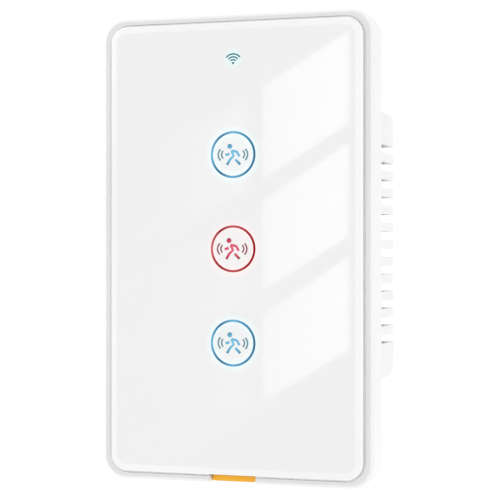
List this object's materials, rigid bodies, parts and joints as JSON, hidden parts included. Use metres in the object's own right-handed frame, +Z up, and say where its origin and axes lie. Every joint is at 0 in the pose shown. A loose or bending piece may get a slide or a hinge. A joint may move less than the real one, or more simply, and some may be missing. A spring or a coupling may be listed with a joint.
{
  "type": "touch switch",
  "caption": "Touch wall switch: bevelled white glass on a moulded frame, vented rear box, steel mounting plate, release tab and rising-cage terminals.",
  "frame": {"origin": "middle of the two box-screw slots, on the wall plane", "axes": "+X to the right, +Y into the wall, +Z up; the glass faces -Y"},
  "size_m": [0.0724, 0.043, 0.12],
  "materials": {
    "white_glass": "polished, printed white behind",
    "white_tape": "matt",
    "white_plastic": "moulded, half gloss",
    "white_housing": "moulded, satin",
    "orange_plastic": "moulded, satin",
    "spring_steel": "bare",
    "clear_plastic": "clear moulded",
    "green_board": "solder mask",
    "lamp": "clear over phosphor",
    "black_plastic": "moulded",
    "gilt_brass": "flash gilt",
    "zinc_steel": "zinc plated",
    "screw_steel": "nickel plated",
    "relay_plastic": "moulded",
    "ferrite": "sintered",
    "yellow_tape": "taped",
    "yellow_plastic": "moulded",
    "brown_plastic": "moulded",
    "blue_plastic": "dipped",
    "shield_steel": "tin plated",
    "green_plastic": "moulded",
    "tinned_brass": "tinned"
  },
  "bodies": {
    "base": {"mounting_plate": "zinc_steel", "base_cover": "white_housing", "rear_housing": "white_housing", "power_board": "green_board", "relays": "relay_plastic", "transformer_core": "ferrite", "transformer_bobbin": "yellow_tape", "storage_capacitors": "black_plastic", "film_capacitor": "yellow_plastic", "choke": "black_plastic", "fuse": "brown_plastic", "varistor": "blue_plastic", "power_chips": "black_plastic", "header_socket": "black_plastic", "radio_board": "green_board", "radio_shield": "shield_steel", "terminal_block": "green_plastic", "terminal_tangs": "tinned_brass"},
    "panel": {"glass_panel": "white_glass", "glass_tape": "white_tape", "front_frame": "white_plastic", "snap_hooks": "white_plastic", "release_hooks": "white_plastic", "tab_spring": "spring_steel", "light_guides": "clear_plastic", "status_light_guide": "clear_plastic", "touch_board": "green_board", "key_leds": "lamp", "status_led": "lamp", "touch_chips": "black_plastic", "header_strip": "black_plastic", "header_pins": "gilt_brass"},
    "tab": {"release_tab": "orange_plastic"},
    "screw_1": {"terminal_screw_1": "screw_steel"},
    "cage_1": {"terminal_cage_1": "zinc_steel"},
    "screw_2": {"terminal_screw_2": "screw_steel"},
    "cage_2": {"terminal_cage_2": "zinc_steel"},
    "screw_3": {"terminal_screw_3": "screw_steel"},
    "cage_3": {"terminal_cage_3": "zinc_steel"},
    "screw_4": {"terminal_screw_4": "screw_steel"},
    "cage_4": {"terminal_cage_4": "zinc_steel"},
    "screw_5": {"terminal_screw_5": "screw_steel"},
    "cage_5": {"terminal_cage_5": "zinc_steel"}
  },
  "joints": [
    {"name": "panel_pull", "type": "slide", "parent": "base", "child": "panel", "axis": [0, -1, 0], "range_m": [0, 0.035], "deforming": ["snap_hooks", "release_hooks"]},
    {"name": "tab_press", "type": "slide", "parent": "panel", "child": "tab", "axis": [0, 0, 1], "range_m": [0, 0.0015], "stiffness_N_per_m": 300, "springref_m": -0.001, "deforming": ["tab_spring"]},
    {"name": "screw_1_turn", "type": "hinge", "parent": "base", "child": "screw_1", "pos_m": [-0.01524, 0.0249, -0.02985], "axis": [0, -1, 0], "range_deg": [0, 1500.5]},
    {"name": "cage_1_rise", "type": "slide", "parent": "base", "child": "cage_1", "axis": [0, 1, 0], "range_m": [0, 0.0025]},
    {"name": "screw_2_turn", "type": "hinge", "parent": "base", "child": "screw_2", "pos_m": [-0.00762, 0.0249, -0.02985], "axis": [0, -1, 0], "range_deg": [0, 1500.5]},
    {"name": "cage_2_rise", "type": "slide", "parent": "base", "child": "cage_2", "axis": [0, 1, 0], "range_m": [0, 0.0025]},
    {"name": "screw_3_turn", "type": "hinge", "parent": "base", "child": "screw_3", "pos_m": [0, 0.0249, -0.02985], "axis": [0, -1, 0], "range_deg": [0, 1500.5]},
    {"name": "cage_3_rise", "type": "slide", "parent": "base", "child": "cage_3", "axis": [0, 1, 0], "range_m": [0, 0.0025]},
    {"name": "screw_4_turn", "type": "hinge", "parent": "base", "child": "screw_4", "pos_m": [0.00762, 0.0249, -0.02985], "axis": [0, -1, 0], "range_deg": [0, 1500.5]},
    {"name": "cage_4_rise", "type": "slide", "parent": "base", "child": "cage_4", "axis": [0, 1, 0], "range_m": [0, 0.0025]},
    {"name": "screw_5_turn", "type": "hinge", "parent": "base", "child": "screw_5", "pos_m": [0.01524, 0.0249, -0.02985], "axis": [0, -1, 0], "range_deg": [0, 1500.5]},
    {"name": "cage_5_rise", "type": "slide", "parent": "base", "child": "cage_5", "axis": [0, 1, 0], "range_m": [0, 0.0025]}
  ],
  "couplings": [
    {"joint": "screw_1_turn", "follows": "cage_1_rise", "rad_per_m": 10472},
    {"joint": "screw_2_turn", "follows": "cage_2_rise", "rad_per_m": 10472},
    {"joint": "screw_3_turn", "follows": "cage_3_rise", "rad_per_m": 10472},
    {"joint": "screw_4_turn", "follows": "cage_4_rise", "rad_per_m": 10472},
    {"joint": "screw_5_turn", "follows": "cage_5_rise", "rad_per_m": 10472}
  ]
}
